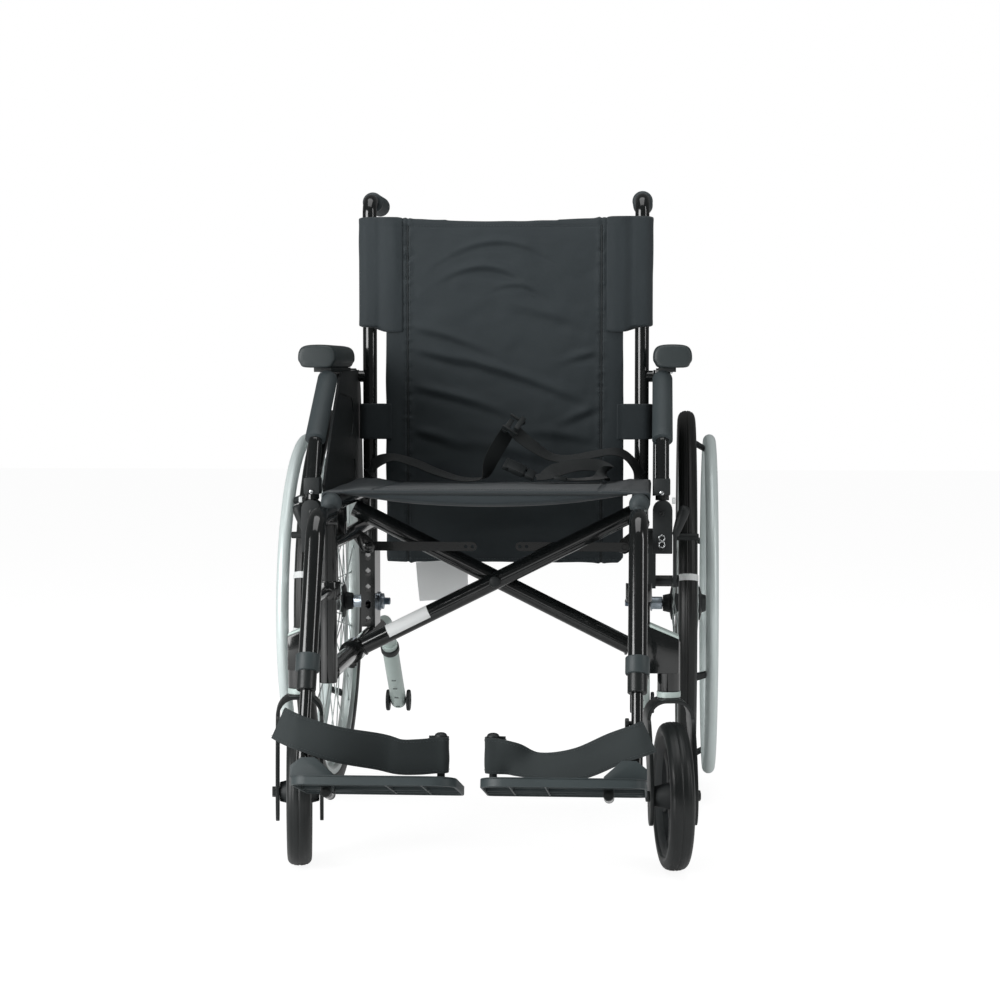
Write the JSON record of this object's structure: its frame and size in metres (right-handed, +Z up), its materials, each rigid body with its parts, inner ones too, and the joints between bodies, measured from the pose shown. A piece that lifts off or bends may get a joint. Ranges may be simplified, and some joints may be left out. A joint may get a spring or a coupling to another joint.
{
  "type": "folding wheelchair",
  "caption": "Self-propelled folding wheelchair with scissor frame, padded sling seat and back, flip-back armrests, swing-away footrests and anti-tip legs.",
  "frame": {"origin": "on the floor at the middle of the chair's width and length, between the footplates' front edges and the back of the anti-tip wheels", "axes": "+X to the sitter's left, +Y to the back of the chair, +Z up; the chair faces -Y"},
  "size_m": [0.6614, 1.1894, 0.9515],
  "materials": {
    "black_paint": "gloss black powder coat",
    "black_plastic": "fine-grained black moulded plastic",
    "soft_rubber": "soft black foam skin",
    "silver_paint": "satin silver aluminium",
    "grey_paint": "light grey paint",
    "zinc": "zinc-plated steel",
    "tyre": "black solid tyre rubber",
    "nylon": "padded black nylon cloth",
    "webbing": "black woven webbing with plastic buckle"
  },
  "bodies": {
    "frame_right": {"right_side_frame": "black_paint", "right_push_grip": "soft_rubber", "right_axle_plate": "black_paint", "right_axle": "zinc", "right_caster_cap": "grey_paint", "right_arm_socket": "black_plastic", "right_brake_bracket": "black_paint", "right_anti_tip_tube": "grey_paint", "back_upholstery": "nylon", "lap_belt": "webbing"},
    "cross_right": {"right_cross_member": "black_paint", "cross_bolt": "black_plastic", "seat_sling": "nylon"},
    "cross_left": {"left_cross_member": "black_paint"},
    "frame_left": {"left_side_frame": "black_paint", "left_push_grip": "soft_rubber", "left_axle_plate": "black_paint", "left_axle": "zinc", "left_caster_cap": "grey_paint", "left_arm_socket": "black_plastic", "left_brake_bracket": "black_paint", "left_anti_tip_tube": "grey_paint"},
    "rear_wheel_right": {"right_rear_tyre": "tyre", "right_rear_rim": "silver_paint", "right_handrim": "silver_paint"},
    "caster_fork_right": {"right_caster_fork": "black_paint"},
    "caster_wheel_right": {"right_caster_tyre": "tyre", "right_caster_hub": "black_plastic"},
    "armrest_right": {"right_arm_frame": "black_paint", "right_arm_sleeve": "soft_rubber", "right_arm_pad": "soft_rubber", "right_side_panel": "black_plastic"},
    "brake_right": {"right_brake_lever": "black_plastic"},
    "hanger_right": {"right_hanger_tube": "black_paint", "right_hanger_collar": "black_plastic"},
    "footrest_right": {"right_footrest_tube": "black_paint"},
    "footplate_right": {"right_footplate": "black_plastic", "right_heel_strap": "nylon"},
    "anti_tip_right": {"right_anti_tip_leg": "grey_paint"},
    "anti_tip_wheels_right": {"right_anti_tip_wheels": "black_plastic"},
    "strut_right": {"right_strut": "black_paint"},
    "rear_wheel_left": {"left_rear_tyre": "tyre", "left_rear_rim": "silver_paint", "left_handrim": "silver_paint"},
    "caster_fork_left": {"left_caster_fork": "black_paint"},
    "caster_wheel_left": {"left_caster_tyre": "tyre", "left_caster_hub": "black_plastic"},
    "armrest_left": {"left_arm_frame": "black_paint", "left_arm_sleeve": "soft_rubber", "left_arm_pad": "soft_rubber", "left_side_panel": "black_plastic"},
    "brake_left": {"left_brake_lever": "black_plastic"},
    "hanger_left": {"left_hanger_tube": "black_paint", "left_hanger_collar": "black_plastic"},
    "footrest_left": {"left_footrest_tube": "black_paint"},
    "footplate_left": {"left_footplate": "black_plastic", "left_heel_strap": "nylon"},
    "anti_tip_left": {"left_anti_tip_leg": "grey_paint"},
    "anti_tip_wheels_left": {"left_anti_tip_wheels": "black_plastic"},
    "strut_left": {"left_strut": "black_paint"}
  },
  "joints": [
    {"name": "fold", "type": "hinge", "parent": "frame_right", "child": "cross_right", "pos_m": [-0.213, -0.01695, 0.257], "axis": [0, -1, 0], "range_deg": [0, 43], "deforming": ["seat_sling", "back_upholstery", "lap_belt"]},
    {"name": "cross_scissor", "type": "hinge", "parent": "cross_right", "child": "cross_left", "pos_m": [0, -0.01695, 0.3632], "axis": [0, -1, 0], "range_deg": [-86, 0]},
    {"name": "frame_left_fold", "type": "hinge", "parent": "cross_left", "child": "frame_left", "pos_m": [0.213, -0.01695, 0.257], "axis": [0, -1, 0], "range_deg": [0, 43]},
    {"name": "rear_wheel_right_roll", "type": "hinge", "parent": "frame_right", "child": "rear_wheel_right", "pos_m": [-0.283, 0.23505, 0.305], "axis": [1, 0, 0], "continuous": true},
    {"name": "caster_right_swivel", "type": "hinge", "parent": "frame_right", "child": "caster_fork_right", "pos_m": [-0.254, -0.27595, 0.237], "axis": [0, 0, 1], "continuous": true},
    {"name": "caster_wheel_right_roll", "type": "hinge", "parent": "caster_fork_right", "child": "caster_wheel_right", "pos_m": [-0.24774, -0.32051, 0.1], "axis": [0.9903, 0.1392, 0], "continuous": true},
    {"name": "armrest_right_flip", "type": "hinge", "parent": "frame_right", "child": "armrest_right", "pos_m": [-0.2445, 0.19005, 0.664], "axis": [-1, 0, 0], "range_deg": [0, 90]},
    {"name": "brake_right_lever", "type": "hinge", "parent": "frame_right", "child": "brake_right", "pos_m": [-0.2605, -0.10995, 0.372], "axis": [-1, 0, 0], "range_deg": [0, 11]},
    {"name": "hanger_right_swing", "type": "hinge", "parent": "frame_right", "child": "hanger_right", "pos_m": [-0.213, -0.28495, 0.478], "axis": [0, 0, -1], "range_deg": [0, 90]},
    {"name": "footrest_right_length", "type": "slide", "parent": "hanger_right", "child": "footrest_right", "axis": [0, -0.3939, -0.9191], "range_m": [-0.025, 0.05]},
    {"name": "footplate_right_flip", "type": "hinge", "parent": "footrest_right", "child": "footplate_right", "pos_m": [-0.178, -0.53537, 0.13802], "axis": [0, -0.9659, 0.2588], "range_deg": [0, 89.01], "deforming": ["right_heel_strap"]},
    {"name": "anti_tip_right_length", "type": "slide", "parent": "frame_right", "child": "anti_tip_right", "axis": [0, 0.7627, -0.6468], "range_m": [-0.02, 0.05]},
    {"name": "anti_tip_wheels_right_roll", "type": "hinge", "parent": "anti_tip_right", "child": "anti_tip_wheels_right", "pos_m": [-0.213, 0.57617, 0.09627], "axis": [1, 0, 0], "continuous": true},
    {"name": "strut_right_swing", "type": "hinge", "parent": "frame_right", "child": "strut_right", "pos_m": [-0.19, -0.01695, 0.413], "axis": [0, -1, 0], "range_deg": [0, 68.8]},
    {"name": "rear_wheel_left_roll", "type": "hinge", "parent": "frame_left", "child": "rear_wheel_left", "pos_m": [0.283, 0.23505, 0.305], "axis": [1, 0, 0], "continuous": true},
    {"name": "caster_left_swivel", "type": "hinge", "parent": "frame_left", "child": "caster_fork_left", "pos_m": [0.254, -0.27595, 0.237], "axis": [0, 0, 1], "continuous": true},
    {"name": "caster_wheel_left_roll", "type": "hinge", "parent": "caster_fork_left", "child": "caster_wheel_left", "pos_m": [0.26026, -0.32051, 0.1], "axis": [0.9903, 0.1392, 0], "continuous": true},
    {"name": "armrest_left_flip", "type": "hinge", "parent": "frame_left", "child": "armrest_left", "pos_m": [0.2445, 0.19005, 0.664], "axis": [-1, 0, 0], "range_deg": [0, 90]},
    {"name": "brake_left_lever", "type": "hinge", "parent": "frame_left", "child": "brake_left", "pos_m": [0.2605, -0.10995, 0.372], "axis": [-1, 0, 0], "range_deg": [0, 11]},
    {"name": "hanger_left_swing", "type": "hinge", "parent": "frame_left", "child": "hanger_left", "pos_m": [0.213, -0.28495, 0.478], "axis": [0, 0, 1], "range_deg": [0, 90]},
    {"name": "footrest_left_length", "type": "slide", "parent": "hanger_left", "child": "footrest_left", "axis": [0, -0.3939, -0.9191], "range_m": [-0.025, 0.05]},
    {"name": "footplate_left_flip", "type": "hinge", "parent": "footrest_left", "child": "footplate_left", "pos_m": [0.178, -0.53537, 0.13802], "axis": [0, -0.9659, 0.2588], "range_deg": [-89.01, 0], "deforming": ["left_heel_strap"]},
    {"name": "anti_tip_left_length", "type": "slide", "parent": "frame_left", "child": "anti_tip_left", "axis": [0, 0.7627, -0.6468], "range_m": [-0.02, 0.05]},
    {"name": "anti_tip_wheels_left_roll", "type": "hinge", "parent": "anti_tip_left", "child": "anti_tip_wheels_left", "pos_m": [0.213, 0.57617, 0.09627], "axis": [1, 0, 0], "continuous": true},
    {"name": "strut_left_swing", "type": "hinge", "parent": "frame_left", "child": "strut_left", "pos_m": [0.19, -0.01695, 0.413], "axis": [0, -1, 0], "range_deg": [-68.8, 0]}
  ],
  "couplings": [
    {"joint": "cross_scissor", "follows": "fold", "ratio": -2},
    {"joint": "frame_left_fold", "follows": "fold", "ratio": 1},
    {"joint": "footplate_right_flip", "follows": "fold", "ratio": 2.07},
    {"joint": "strut_right_swing", "follows": "fold", "ratio": 1.6},
    {"joint": "footplate_left_flip", "follows": "fold", "ratio": -2.07},
    {"joint": "strut_left_swing", "follows": "fold", "ratio": -1.6}
  ]
}
